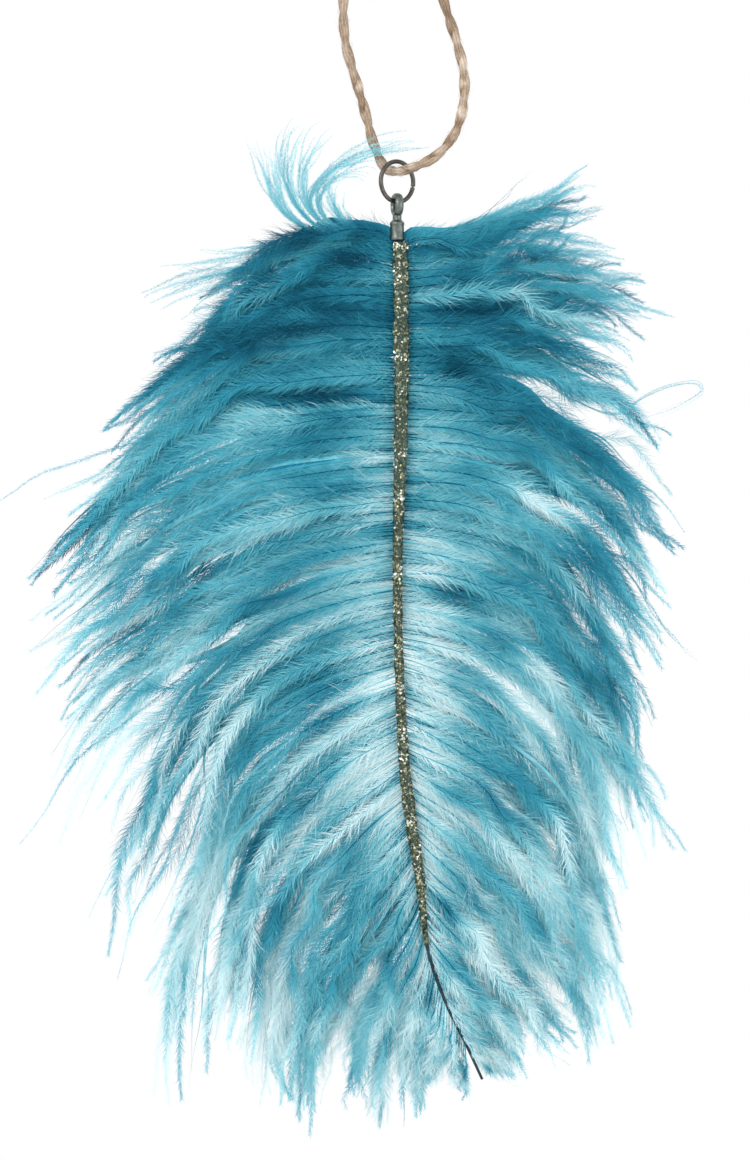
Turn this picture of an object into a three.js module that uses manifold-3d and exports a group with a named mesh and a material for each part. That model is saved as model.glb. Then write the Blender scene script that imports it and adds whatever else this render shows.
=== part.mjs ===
// A hanging feather ornament: one large feather, point down, its quill glued into a metal end cap.
// A jump ring joins the cap's eye to a knotted loop of twine. Millimetres, +Z up, +X to the right
// and +Y to the back. The origin is the hanging point, inside the top of the twine loop.
import * as THREE from 'three';
import { mergeVertices } from 'three/addons/utils/BufferGeometryUtils.js';
import Module from 'manifold-3d';

const wasm = await Module();
wasm.setup();

// ---- Driving dimensions -------------------------------------------------------------------------
const GAP = 0.3; // left between neighbouring pieces

const CORD_DIAMETER = 2.6;
const CORD_STEPS = 64;
const KNOT_HALF = { x: 4.3, y: 3.3, z: 3.6 };
const KNOT_HEIGHT = 7.4; // the knot's middle, above the hanging point
const TAIL_DIAMETER = 2.4;

const RING_OUTER = 10;
const RING_WIRE = 1;
const RING_TURN = 37; // degrees about Z, from facing the front
const RING_HEIGHT = -64.8;
const RING_SPLIT_AT = -12; // degrees round the ring, from its right side
const RING_SPLIT = 0.3;

const EYE_RADIUS = 2.1; // to the middle of the eye's bar
const EYE_BAR = 1.1;
const EYE_SPAN = 1.9; // along the hole
const EYE_PLAY = 0.4; // from the ring's wire to the top of the eye's hole
const CAP_TURN = 15; // degrees about Z, of the eye's hole from X
const NECK_RADIUS = 1;
const BARREL_RADIUS = 1.65;
const BARREL_TOP = -73.4;
const BARREL_MOUTH = -77.9;
const BORE_RADIUS = 1.35;
const BORE_DEPTH = 3.6;
const PLUG_HEIGHT = 0.8;

const QUILL_RADIUS = 1.05;
const SHAFT_TIP_RADIUS = 0.3;
const SHAFT_BOW = 2.2; // how far the shaft's middle stands forward
const COAT_WIDTH = { top: 3.2, bottom: 1.9 };
const COAT_THICKNESS = 0.9;
const COAT_END = 10.2; // the row of the vane where the coat ends

const LOCKS_PER_SIDE = 16;
const LOCK_FILL = 0.9; // share of the pitch that a lock takes
const LOCK_STEPS = 9;
const LOCK_THICKNESS = { left: 1.5, right: 2.1 };
const TIP_SETBACK = 8; // how far the barbs' tips lie behind the shaft
const HANDLE = { leave: 0.48, arrive: 0.42 }; // the pull of a barb's two end directions

// The vane, row by row down the shaft: the shaft's point, then on each side the barb's tip and its
// direction in degrees below level where it leaves the shaft and where it ends.
const VANE_ROWS = [
  { shaft: [0.4, -78.4], left: [-52, -92, -6, 25], right: [43, -63, 0, -30] },
  { shaft: [0.6, -92], left: [-66, -121, -8, 36], right: [58, -102, -2, 26] },
  { shaft: [0.7, -108], left: [-80, -148, -4, 41], right: [63, -136, 0, 42] },
  { shaft: [0.5, -126], left: [-84, -168, 2, 45], right: [64, -170, 2, 52] },
  { shaft: [0, -144], left: [-77, -196, 6, 53], right: [58, -201, 4, 64] },
  { shaft: [0, -161], left: [-64, -234, 10, 66], right: [53, -219, 8, 72] },
  { shaft: [0.5, -177], left: [-52, -254, 20, 72], right: [48, -236, 18, 74] },
  { shaft: [1.4, -193], left: [-42, -261, 31, 76], right: [44, -246, 28, 70] },
  { shaft: [2.9, -206], left: [-29, -265, 44, 80], right: [40, -251, 38, 62] },
  { shaft: [4.9, -219], left: [-15, -269, 60, 85], right: [35, -256, 47, 56] },
  { shaft: [6.6, -234], left: [-3, -270, 77, 88], right: [29.5, -259.5, 52, 54] },
  { shaft: [10.4, -246], left: [8.5, -268.5, 87, 90], right: [25, -262.5, 50, 52] },
  { shaft: [15.2, -256], left: [16.2, -267, 92, 94], right: [21.5, -264.5, 50, 52] },
];
const SHAFT_TIP = [18.9, -264];

// The twine's route, from the knot down its left strand, through the ring and up the right one.
const CORD_ROUTE = [
  [-1.5, 0.0, 3.2], [-3.4, 0.0, 0.0], [-7.2, 0.1, -7.5], [-10.6, 0.3, -16.0], [-11.9, 0.5, -24.5],
  [-11.5, 0.8, -33.5], [-9.2, 1.3, -42.0], [-7.0, 2.2, -49.5], [-5.4, 3.3, -55.5], [-3.8, 3.7, -59.5],
  [-2.2, 2.7, -61.8], [0.0, 0.0, -62.4], [2.2, -2.7, -62.3], [4.8, -4.5, -61.5], [7.8, -5.0, -60.0],
  [10.8, -4.6, -57.3], [13.3, -3.7, -53.2], [14.7, -2.6, -47.5], [14.8, -1.7, -41.0], [13.4, -0.9, -34.5],
  [10.9, -0.4, -26.5], [8.2, -0.1, -17.5], [5.6, 0.0, -8.0], [3.4, 0.0, 0.0], [1.5, 0.0, 3.2],
];
const TAIL_ROUTES = {
  left: [[-1.6, 0.2, 8.5], [-3.0, 0.4, 12.5], [-5.2, 0.2, 16.5], [-7.8, -0.3, 20.0]],
  right: [[1.6, -0.2, 8.5], [2.8, -0.5, 13.0], [4.0, -0.3, 17.5], [6.2, 0.3, 21.5]],
};

// The loose curled barbs above the left shoulder.
const WISPS = {
  outer: [
    [-12.0, 0.4, -76.1], [-18.2, 1.2, -73.0], [-24.8, 2.0, -66.2], [-28.6, 2.4, -59.5], [-30.0, 2.2, -54.4],
  ],
  middle: [
    [-8.0, 0.2, -76.6], [-13.4, 0.8, -71.8], [-18.0, 1.4, -65.4], [-20.4, 1.2, -58.5], [-20.6, 0.6, -52.8],
  ],
  inner: [
    [-4.4, 0.0, -76.6], [-8.8, 0.2, -71.4], [-12.6, 0.4, -66.2], [-14.2, 0.4, -61.2], [-12.4, 0.2, -57.6],
  ],
};
const WISP_SIZE = { halfWidth: 0.9, halfDepth: 0.6, tip: 0.3 };
const WISP_STEPS = 10;

// ---- Materials ----------------------------------------------------------------------------------
const twine = new THREE.MeshStandardMaterial({ color: 0xc3a88c, roughness: 0.95, metalness: 0 });
const gunmetal = new THREE.MeshStandardMaterial({ color: 0x6b655c, roughness: 0.28, metalness: 1 });
const glue = new THREE.MeshStandardMaterial({ color: 0xd8d2bd, roughness: 0.4, metalness: 0 });
const quill = new THREE.MeshStandardMaterial({ color: 0x1d4a5e, roughness: 0.5, metalness: 0 });
const glitter = new THREE.MeshStandardMaterial({ color: 0x8f8a4c, roughness: 0.3, metalness: 0.7 });
const barbs = new THREE.MeshStandardMaterial({ color: 0x3f97ad, roughness: 0.8, metalness: 0 });

// ---- Helpers ------------------------------------------------------------------------------------
const radians = THREE.MathUtils.degToRad;
const lerp = THREE.MathUtils.lerp;
const points = (route) => route.map((p) => new THREE.Vector3(...p));
const curveThrough = (route) => new THREE.CatmullRomCurve3(points(route), false, 'centripetal');

function piece(name, geometry, material) {
  const mesh = new THREE.Mesh(geometry, material);
  mesh.name = name;
  return mesh;
}

function circle(radius, sides) {
  const corners = [];
  for (let i = 0; i < sides; i += 1) {
    const turn = (2 * Math.PI * i) / sides;
    corners.push(new THREE.Vector2(radius * Math.cos(turn), radius * Math.sin(turn)));
  }
  return new THREE.Shape(corners);
}

function tube(curve, radius, steps, sides) {
  return new THREE.ExtrudeGeometry(circle(radius, sides), { extrudePath: curve, steps });
}

// A closed solid through rings of points, its two ends filled, turned so that its faces look out.
function loft(rings) {
  const sides = rings[0].length;
  const position = rings.flat().flatMap((p) => [p.x, p.y, p.z]);
  const triangles = [];
  for (let r = 0; r + 1 < rings.length; r += 1) {
    for (let i = 0; i < sides; i += 1) {
      const a = r * sides + i;
      const b = r * sides + ((i + 1) % sides);
      triangles.push([a, b, a + sides], [b, b + sides, a + sides]);
    }
  }
  const last = (rings.length - 1) * sides;
  for (let i = 1; i + 1 < sides; i += 1) {
    triangles.push([0, i + 1, i], [last, last + i, last + i + 1]);
  }
  const all = rings.flat();
  const cone = ([a, b, c]) => all[a].dot(all[b].clone().cross(all[c]));
  const volume = triangles.reduce((sum, corners) => sum + cone(corners), 0);
  const index = triangles.flatMap(([a, b, c]) => (volume > 0 ? [a, b, c] : [a, c, b]));
  const geometry = new THREE.BufferGeometry();
  geometry.setAttribute('position', new THREE.Float32BufferAttribute(position, 3));
  geometry.setIndex(index);
  geometry.computeVertexNormals();
  return geometry;
}

// A tapering bar along a curve that lies near the XZ plane: size gives [half width, half depth].
function taperedBar(curve, steps, sides, size) {
  const back = new THREE.Vector3(0, 1, 0);
  const rings = [];
  for (let s = 0; s <= steps; s += 1) {
    const t = s / steps;
    const centre = curve.getPointAt(t);
    const across = curve.getTangentAt(t).cross(back).normalize();
    const [halfWidth, halfDepth] = size(t);
    const ring = [];
    for (let i = 0; i < sides; i += 1) {
      const turn = (2 * Math.PI * i) / sides;
      const point = centre.clone().addScaledVector(across, halfWidth * Math.cos(turn));
      ring.push(point.addScaledVector(back, halfDepth * Math.sin(turn)));
    }
    rings.push(ring);
  }
  return loft(rings);
}

function solid(geometry) {
  const bare = geometry.clone();
  bare.deleteAttribute('normal');
  bare.deleteAttribute('uv');
  const merged = mergeVertices(bare, 1e-4);
  const vertProperties = new Float32Array(merged.attributes.position.array);
  const triVerts = new Uint32Array(merged.index.array);
  return new wasm.Manifold(new wasm.Mesh({ numProp: 3, vertProperties, triVerts }));
}

function fromSolid(body) {
  const mesh = body.getMesh();
  const geometry = new THREE.BufferGeometry();
  geometry.setAttribute('position', new THREE.Float32BufferAttribute(mesh.vertProperties, 3));
  geometry.setIndex([...mesh.triVerts]);
  geometry.computeVertexNormals();
  return geometry;
}

function joined(first, ...others) {
  return fromSolid(others.reduce((sum, geometry) => sum.add(solid(geometry)), solid(first)));
}

// ---- The twine ----------------------------------------------------------------------------------
function hangingCord() {
  return piece('hanging_cord', tube(curveThrough(CORD_ROUTE), CORD_DIAMETER / 2, CORD_STEPS, 8), twine);
}

function cordKnot() {
  const ball = new THREE.SphereGeometry(1, 16, 12);
  ball.scale(KNOT_HALF.x, KNOT_HALF.y, KNOT_HALF.z);
  ball.translate(0, 0, KNOT_HEIGHT);
  const tails = Object.values(TAIL_ROUTES).map((r) => tube(curveThrough(r), TAIL_DIAMETER / 2, 6, 8));
  return piece('cord_knot', joined(ball, ...tails), twine);
}

// ---- The jump ring and the end cap ---------------------------------------------------------------
class RingArc extends THREE.Curve {
  constructor(radius, from, to) {
    super();
    Object.assign(this, { radius, from, to });
  }

  getPoint(t, target = new THREE.Vector3()) {
    const turn = lerp(this.from, this.to, t);
    return target.set(this.radius * Math.cos(turn), 0, this.radius * Math.sin(turn));
  }
}

function jumpRing() {
  const radius = (RING_OUTER - RING_WIRE) / 2;
  const halfSplit = RING_SPLIT / 2 / radius;
  const from = radians(RING_SPLIT_AT) + halfSplit;
  const arc = new RingArc(radius, from, from + 2 * Math.PI - 2 * halfSplit);
  const ring = piece('jump_ring', tube(arc, RING_WIRE / 2, 40, 10), gunmetal);
  ring.rotation.z = radians(RING_TURN);
  ring.position.z = RING_HEIGHT;
  return ring;
}

function endCap() {
  const wire = RING_HEIGHT - (RING_OUTER - RING_WIRE) / 2;
  const eyeHeight = wire - (EYE_RADIUS - EYE_BAR / 2 - RING_WIRE / 2 - EYE_PLAY);
  const eye = new THREE.TorusGeometry(EYE_RADIUS, EYE_BAR / 2, 10, 24);
  eye.rotateY(Math.PI / 2);
  eye.scale(EYE_SPAN / EYE_BAR, 1, 1);
  eye.translate(0, 0, eyeHeight);
  const neckTop = eyeHeight - EYE_RADIUS;
  const shoulder = 0.5;
  const lip = 0.15;
  const boreTop = BARREL_MOUTH + BORE_DEPTH;
  const profile = [
    [0, neckTop], [NECK_RADIUS, neckTop], [NECK_RADIUS, BARREL_TOP], [BARREL_RADIUS - shoulder, BARREL_TOP],
    [BARREL_RADIUS, BARREL_TOP - shoulder], [BARREL_RADIUS, BARREL_MOUTH + lip],
    [BARREL_RADIUS - lip, BARREL_MOUTH], [BORE_RADIUS, BARREL_MOUTH], [BORE_RADIUS, boreTop], [0, boreTop],
  ].reverse();
  const barrel = new THREE.LatheGeometry(profile.map(([r, z]) => new THREE.Vector2(r, z)), 20);
  barrel.rotateX(Math.PI / 2);
  const cap = piece('end_cap', joined(barrel, eye), gunmetal);
  cap.rotation.z = radians(CAP_TURN);
  return cap;
}

function gluePlug() {
  const plug = new THREE.CylinderGeometry(BORE_RADIUS - 0.1, BORE_RADIUS - 0.1, PLUG_HEIGHT, 16);
  plug.rotateX(Math.PI / 2);
  const mesh = piece('glue_plug', plug, glue);
  mesh.position.z = BARREL_MOUTH + BORE_DEPTH - 0.1 - PLUG_HEIGHT / 2;
  return mesh;
}

// ---- The shaft and its coat ----------------------------------------------------------------------
const ROWS = VANE_ROWS.length - 1;
const shaftLength = VANE_ROWS[0].shaft[1] - SHAFT_TIP[1];
const shaftShare = (z) => THREE.MathUtils.clamp((VANE_ROWS[0].shaft[1] - z) / shaftLength, 0, 1);
const bow = (z) => -SHAFT_BOW * Math.sin(Math.PI * shaftShare(z));
const shaftPoint = ([x, z]) => [x, bow(z), z];
const rowCurve = (pick) => new THREE.CatmullRomCurve3(points(VANE_ROWS.map(pick)));
const shaftRows = rowCurve((row) => shaftPoint(row.shaft));
const shaftRadius = (share) => lerp(QUILL_RADIUS, SHAFT_TIP_RADIUS, share);
const coatHalfWidth = (row) => lerp(COAT_WIDTH.top, COAT_WIDTH.bottom, Math.min(row / COAT_END, 1)) / 2;

function quillShaft() {
  const quillTop = BARREL_MOUTH + BORE_DEPTH - PLUG_HEIGHT - 0.2;
  const below = VANE_ROWS.map((row) => shaftPoint(row.shaft));
  const route = [[0, 0, quillTop], [0.1, 0, BARREL_MOUTH + 1], ...below];
  const curve = curveThrough([...route, shaftPoint(SHAFT_TIP)]);
  const size = (t) => [shaftRadius(t), shaftRadius(t)];
  return piece('quill_shaft', taperedBar(curve, 36, 10, size), quill);
}

function glitterCoat() {
  const route = [];
  for (let row = 0; row <= COAT_END; row += COAT_END / 12) {
    const p = shaftRows.getPoint(row / ROWS);
    route.push([p.x, p.y - shaftRadius(row / ROWS) - GAP - COAT_THICKNESS / 2, p.z]);
  }
  const size = (t) => [coatHalfWidth(t * COAT_END), COAT_THICKNESS / 2];
  return piece('glitter_coat', taperedBar(curveThrough(route), 28, 8, size), glitter);
}

// ---- The vane ------------------------------------------------------------------------------------
// A barb as a cubic curve: row is where it leaves the shaft and along runs from 0 there to 1 at its tip.
function barbPoint(side, row, along) {
  const sign = side === 'left' ? -1 : 1;
  const share = row / ROWS;
  const centre = shaftRows.getPoint(share);
  const down = shaftRows.getTangent(share);
  const edge = Math.max(shaftRadius(share), row < COAT_END ? coatHalfWidth(row) : 0) + GAP;
  const root = new THREE.Vector3(-down.z, 0, down.x).normalize().multiplyScalar(sign * edge).add(centre);
  const tip = rowCurve((r) => [r[side][0], 0, r[side][1]]).getPoint(share);
  const angles = rowCurve((r) => [r[side][2], r[side][3], 0]).getPoint(share);
  const reach = Math.hypot(tip.x - root.x, tip.z - root.z);
  const heading = (below) => {
    const angle = radians(below);
    return new THREE.Vector3(sign * Math.cos(angle), 0, -Math.sin(angle));
  };
  const first = root.clone().addScaledVector(heading(angles.x), HANDLE.leave * reach);
  const second = tip.clone().addScaledVector(heading(angles.y), -HANDLE.arrive * reach);
  const point = new THREE.CubicBezierCurve3(root, first, second, tip).getPoint(along);
  point.y = centre.y + TIP_SETBACK * along * along;
  return point;
}

function barbLock(side, number) {
  const pitch = ROWS / LOCKS_PER_SIDE;
  const middle = (number - 0.5) * pitch;
  const rings = [];
  for (let s = 0; s <= LOCK_STEPS; s += 1) {
    const along = s / LOCK_STEPS;
    const taper = 1 - 0.9 * THREE.MathUtils.smoothstep(along, 0.5, 1);
    const half = (LOCK_FILL * pitch * taper) / 2;
    const low = barbPoint(side, middle - half, along);
    const high = barbPoint(side, middle + half, along);
    const depth = new THREE.Vector3(0, (LOCK_THICKNESS[side] * (1 - 0.5 * along)) / 2, 0);
    const near = low.clone().lerp(high, 0.25);
    const far = low.clone().lerp(high, 0.75);
    rings.push([
      low, near.clone().sub(depth), far.clone().sub(depth),
      high, far.clone().add(depth), near.clone().add(depth),
    ]);
  }
  return piece(`barb_lock_${side}_${String(number).padStart(2, '0')}`, loft(rings), barbs);
}

function wisp(name, route) {
  const { halfWidth, halfDepth, tip } = WISP_SIZE;
  const size = (t) => [lerp(halfWidth, tip, t), lerp(halfDepth, tip, t)];
  return piece(`top_wisp_${name}`, taperedBar(curveThrough(route), WISP_STEPS, 6, size), barbs);
}

// ---- Assembly ------------------------------------------------------------------------------------
const hanger = new THREE.Group();
hanger.add(hangingCord(), cordKnot());

const feather = new THREE.Group();
feather.add(endCap(), gluePlug(), quillShaft(), glitterCoat());
for (const side of ['left', 'right']) {
  for (let number = 1; number <= LOCKS_PER_SIDE; number += 1) {
    feather.add(barbLock(side, number));
  }
}
for (const [name, route] of Object.entries(WISPS)) {
  feather.add(wisp(name, route));
}

const ornament = new THREE.Group();
ornament.add(hanger, jumpRing(), feather);

export default ornament;
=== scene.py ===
"""A hanging feather ornament: a dyed plume on a twine loop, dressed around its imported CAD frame."""
import math

import bpy
import numpy as np
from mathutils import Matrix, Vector


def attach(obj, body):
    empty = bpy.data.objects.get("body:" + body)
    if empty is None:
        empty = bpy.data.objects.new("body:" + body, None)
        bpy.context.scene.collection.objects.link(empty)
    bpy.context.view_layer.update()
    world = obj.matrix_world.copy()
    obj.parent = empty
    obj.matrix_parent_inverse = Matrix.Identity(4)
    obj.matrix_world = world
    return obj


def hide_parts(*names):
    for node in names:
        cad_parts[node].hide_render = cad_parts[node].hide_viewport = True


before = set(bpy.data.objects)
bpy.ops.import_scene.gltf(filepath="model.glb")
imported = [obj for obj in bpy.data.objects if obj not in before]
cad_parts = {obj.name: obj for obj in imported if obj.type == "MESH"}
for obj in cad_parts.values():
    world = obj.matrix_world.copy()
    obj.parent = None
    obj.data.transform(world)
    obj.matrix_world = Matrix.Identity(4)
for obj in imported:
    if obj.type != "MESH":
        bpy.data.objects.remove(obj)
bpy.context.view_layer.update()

MM = 0.001

# ---- Driving sizes, in millimetres unless a name says otherwise ----
VIEW_CENTRE = (-4.9, -153.2)
VIEW_HEIGHT = 257.5
LENS = 150
SENSOR = 36

CORD_DIAMETER = 2.6
CORD_ROUTE = [
    (-1.5, 0.0, 3.2), (-3.4, 0.0, 0.0), (-7.2, 0.1, -7.5), (-10.6, 0.3, -16.0), (-11.9, 0.5, -24.5),
    (-11.5, 0.8, -33.5), (-9.2, 1.3, -42.0), (-7.0, 2.2, -49.5), (-5.4, 3.3, -55.5), (-3.8, 3.7, -59.5),
    (-2.2, 2.7, -61.8), (0.0, 0.0, -62.4), (2.2, -2.7, -62.3), (4.8, -4.5, -61.5), (7.8, -5.0, -60.0),
    (10.8, -4.6, -57.3), (13.3, -3.7, -53.2), (14.7, -2.6, -47.5), (14.8, -1.7, -41.0), (13.4, -0.9, -34.5),
    (10.9, -0.4, -26.5), (8.2, -0.1, -17.5), (5.6, 0.0, -8.0), (3.4, 0.0, 0.0), (1.5, 0.0, 3.2),
]
TAIL_DIAMETER = 2.4
TAIL_ROUTES = [
    [(-0.8, 0.1, 6.5), (-1.6, 0.2, 8.5), (-3.0, 0.4, 12.5), (-5.2, 0.2, 16.5), (-7.8, -0.3, 20.0)],
    [(0.8, -0.1, 6.5), (1.6, -0.2, 8.5), (2.8, -0.5, 13.0), (4.0, -0.3, 17.5), (6.2, 0.3, 21.5)],
]
KNOT_HALF = (4.3, 3.3, 3.6)
KNOT_HEIGHT = 7.4

RING_OUTER = 10
RING_WIRE = 1
RING_TURN = 37
RING_HEIGHT = -64.8
RING_SPLIT_AT = -12
RING_SPLIT = 0.3

EYE_RADIUS = 2.1
EYE_BAR = 1.1
EYE_SPAN = 1.9
EYE_PLAY = 0.4
CAP_TURN = 15
NECK_RADIUS = 1
BARREL_RADIUS = 1.65
BARREL_TOP = -73.4
BARREL_MOUTH = -77.9
BORE_RADIUS = 1.35
BORE_DEPTH = 3.6
PLUG_HEIGHT = 0.8

QUILL_RADIUS = 1.05
SHAFT_TIP_RADIUS = 0.3
COAT_THICKNESS = 0.9
COAT_ASIDE = 0.3
GAP = 0.3

# The vane, row by row down the shaft: the shaft's point, then on each side the barb's tip and its
# direction in degrees below level where it leaves the shaft and where it ends.
VANE_ROWS = [
    ((0.4, -78.4), (-52, -92, -6, 25), (43, -63, 0, -30)),
    ((0.6, -92), (-66, -121, -8, 36), (58, -102, -2, 26)),
    ((0.7, -108), (-80, -148, -4, 41), (63, -136, 0, 42)),
    ((0.5, -126), (-84, -168, 2, 45), (64, -170, 2, 52)),
    ((0, -144), (-77, -196, 6, 53), (58, -201, 4, 64)),
    ((0, -161), (-64, -234, 10, 66), (53, -219, 8, 72)),
    ((0.5, -177), (-52, -254, 20, 72), (48, -236, 18, 74)),
    ((1.4, -193), (-42, -261, 31, 76), (44, -246, 28, 70)),
    ((2.9, -206), (-29, -265, 44, 80), (40, -251, 38, 62)),
    ((4.9, -219), (-15, -269, 60, 85), (35, -256, 47, 56)),
    ((6.6, -234), (-3, -270, 77, 88), (29.5, -259.5, 52, 54)),
    ((10.4, -246), (8.5, -268.5, 87, 90), (25, -262.5, 50, 52)),
    ((15.2, -256), (16.2, -267, 92, 94), (21.5, -264.5, 50, 52)),
]
LAST_ROW = len(VANE_ROWS) - 1
SHAFT_TIP = (18.9, -264)
SHAFT_BOW = 2.2
TIP_SETBACK = 8
HANDLE_LEAVE, HANDLE_ARRIVE = 0.48, 0.42
LOCKS_PER_SIDE = 16
SIDES = {"left": -1, "right": 1}

# The loose curls above the left shoulder: each CAD wisp's tufts, as a route and half a count of hairs.
WISPS = {
    "outer": [
        ([(-13, 0.3, -76.3), (-20.6, 1, -74.8), (-25.4, 1.8, -70.6), (-28.2, 2.2, -65), (-29.3, 2.3, -60.5),
          (-30.8, 2.2, -55.6)], 5),
        ([(-12, 0.3, -76.4), (-19, 1.2, -75.4), (-24, 1.5, -72), (-26.8, 1.7, -67), (-28, 1.8, -61.5),
          (-27.6, 1.8, -57.6)], 4),
    ],
    "middle": [
        ([(-11.5, 0.3, -76.4), (-18.2, 0.8, -74.2), (-22.2, 1.3, -69.8), (-24.4, 1.5, -64.5),
          (-24.8, 1.4, -59), (-23.6, 1.1, -54.6), (-21.2, 0.8, -50.8)], 6),
        ([(-11, 0.3, -76.4), (-17, 0.6, -73.6), (-20.4, 1, -69), (-21.2, 1.1, -64), (-20.2, 1, -59.6),
          (-17.8, 0.8, -56), (-14.8, 0.6, -53)], 5),
    ],
    "inner": [
        ([(-9.5, 0.2, -76.5), (-15.4, 0.4, -74.6), (-18.9, 0.8, -70.8), (-18.8, 1, -67), (-15.6, 1.1, -63.4),
          (-11, 1.1, -60.5), (-5.6, 1, -58), (0.5, 0.8, -56.8), (7.6, 0.6, -56.6)], 5),
        ([(-9.5, 0.3, -76.5), (-15, 0.5, -73.8), (-17.6, 0.7, -69.6), (-16.6, 0.9, -65.4), (-13, 1, -62.2),
          (-8.4, 1, -61), (-5, 0.9, -63)], 5),
        ([(-8, 0.1, -76.6), (-12.4, 0.3, -73), (-14.8, 0.5, -69), (-14.8, 0.6, -65.6), (-13, 0.6, -62.8)], 4),
        ([(-6.5, 0, -76.8), (-10.4, 0.2, -74.2), (-12.8, 0.3, -71), (-13.3, 0.4, -67.6)], 4),
    ],
}

# Stray hairs, by side and lock: a route, how many hairs, how far they part, their fuzz and their tone.
STRAYS = {
    ("left", 1): [
        ([(-8, 0.5, -77.2), (-18, 1, -77.4), (-25, 1.8, -78), (-32, 2.6, -79.3), (-39, 3.4, -80),
          (-45, 4, -79.2)], 4, 0.8, 1.2, 0.6),
        ([(-10, 0.5, -78.2), (-24, 1.5, -79.4), (-34, 2.5, -81.4), (-45, 4, -83), (-54, 5, -84.4)],
         4, 1.2, 1.4, 0.6),
        ([(-10, 0.5, -78.6), (-24, 1.5, -81), (-34, 2.5, -84), (-45, 4, -87), (-56, 5, -92)],
         6, 1.6, 2.2, 0.5),
    ],
    ("left", 4): [
        ([(-40, 3, -118), (-56, 4.5, -124), (-68, 6, -131), (-79, 7.5, -136)], 3, 1.2, 1.6, 0.7),
    ],
    ("left", 7): [
        ([(-40, 3, -165), (-56, 5, -178), (-66, 6.5, -190), (-75, 8, -207)], 3, 1.4, 1.6, 0.75),
    ],
    ("right", 1): [
        ([(8, 0.3, -76.8), (17.5, 0.8, -73), (22, 1, -69.8), (27.5, 1.4, -64.8), (33.2, 1.8, -59.4)],
         2, 0.3, 0.3, 0.2),
        ([(7, 0.3, -77), (18, 0.9, -73.6), (26, 1.5, -70.4), (33, 2, -68), (38, 2.4, -65),
          (43.6, 2.8, -61.2)], 5, 0.7, 2.6, 0.62),
        ([(10, 0.6, -76.6), (26, 1.5, -71.2), (33, 2, -69), (39, 2.4, -66.4), (45, 2.8, -65.4)],
         4, 0.7, 2.4, 0.62),
        ([(7, 0.3, -78), (18, 0.9, -75), (28, 1.6, -72.6), (37, 2.3, -72.4), (47, 3, -71)],
         8, 0.9, 3.4, 0.42),
        ([(8, 0.3, -79.4), (24, 1.3, -77), (34, 2, -76.4), (41, 2.6, -77.4), (48.4, 3.2, -79)],
         6, 0.9, 3, 0.5),
        ([(9, 0.4, -80.6), (27, 1.5, -79.4), (36, 2.2, -80.2), (44, 3, -81.4), (53.4, 3.8, -82.4)],
         6, 1.0, 3, 0.5),
        ([(9, 0.4, -82), (22, 1.3, -83.4), (36, 2.4, -84.4), (46, 3.3, -86), (58.4, 4.4, -87.8)],
         6, 1.0, 3, 0.5),
    ],
    ("right", 2): [
        ([(10, 0.5, -86), (24, 1.4, -87.6), (38, 2.6, -88), (47, 3.4, -90.4), (53.5, 4, -93.4),
          (61, 4.8, -95.4)], 7, 1.0, 3, 0.5),
        ([(14, 0.6, -90), (30, 1.8, -93.6), (40, 2.6, -96.6), (46, 3.2, -100), (49.6, 3.6, -104.6)],
         5, 1.0, 3, 0.55),
        ([(16, 0.8, -94), (35, 2.2, -98), (47, 3.2, -99.4), (52.6, 3.8, -102.4), (55.4, 4, -107.4)],
         4, 0.8, 2.4, 0.6),
    ],
    ("right", 4): [
        ([(30, 2, -108), (40, 2.8, -113.4), (46.4, 3.2, -116), (50.6, 3.6, -115.8), (54.6, 4, -113),
          (59, 4.3, -110.6), (63.5, 4.5, -109.3), (67, 4.6, -109.2), (68.2, 4.6, -110.8), (66.2, 4.5, -112.6),
          (61, 4.2, -115.2), (55, 4, -117.8), (50.6, 3.8, -121)], 3, 0.4, 0.5, 0.6),
    ],
    ("right", 5): [
        ([(36, 3, -122), (46, 3.4, -128.6), (52.4, 3.8, -133.6), (56, 4, -138), (59.4, 4.4, -144.4)],
         2, 0.4, 0.5, 0.5),
    ],
    ("right", 6): [
        ([(42, 3.4, -142), (50, 4, -150), (57, 5, -160), (62.5, 6, -167), (68.4, 7, -172.4)],
         3, 0.5, 0.8, 0.5),
    ],
}

# Darker and paler places painted into the barbs' colour: across, height, reach and depth of each. The darker
# ones are painted shade, where locks overlap and by the cap.
SHADE_SPOTS = [
    (-30, -97, 18, -0.07), (-12, -78, 12, -0.16), (22, -92, 18, -0.08), (38, -148, 16, -0.08),
    (30, -118, 14, -0.05), (-38, -118, 8, 0.16), (-62, -130, 16, 0.06), (-28, -136, 9, 0.14),
    (-20, -170, 12, 0.06), (20, -178, 14, 0.06), (-45, -205, 20, 0.03), (16, -200, 10, 0.06),
    (-60, -225, 18, 0.12), (30, -215, 20, 0.06), (12, -256, 13, 0.15), (-6, -256, 12, 0.08),
    (6, -226, 5, -0.12), (26, -240, 10, 0.08),
]
PATCH_DEPTH = 0.09
PATCHES_PER_ROW = 2.4
PATCHES_ALONG = 6.5
BASE_TONE = 0.38
PALER_DOWN = {"left": 0.26, "right": 0.32}
PALER_ROOT = (0.08, 0.2)
PALER_TIP = 0.16

FULL_REACH = 80
BARBS_PER_SIDE = 330
BARB_STEPS = 28
RAMUS_RADIUS = 0.13
BARBULE_GAP = (0.19, 0.25)
BARBULE_WIDTH = 0.1
BARBULE_LENGTH = (5.2, 5.4)
BARBULE_LEAN = (31, 11)
BARBULE_BEND = (20, 16)
BARE_ROOT = {"left": (5, 13), "right": (5, 8)}

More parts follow.
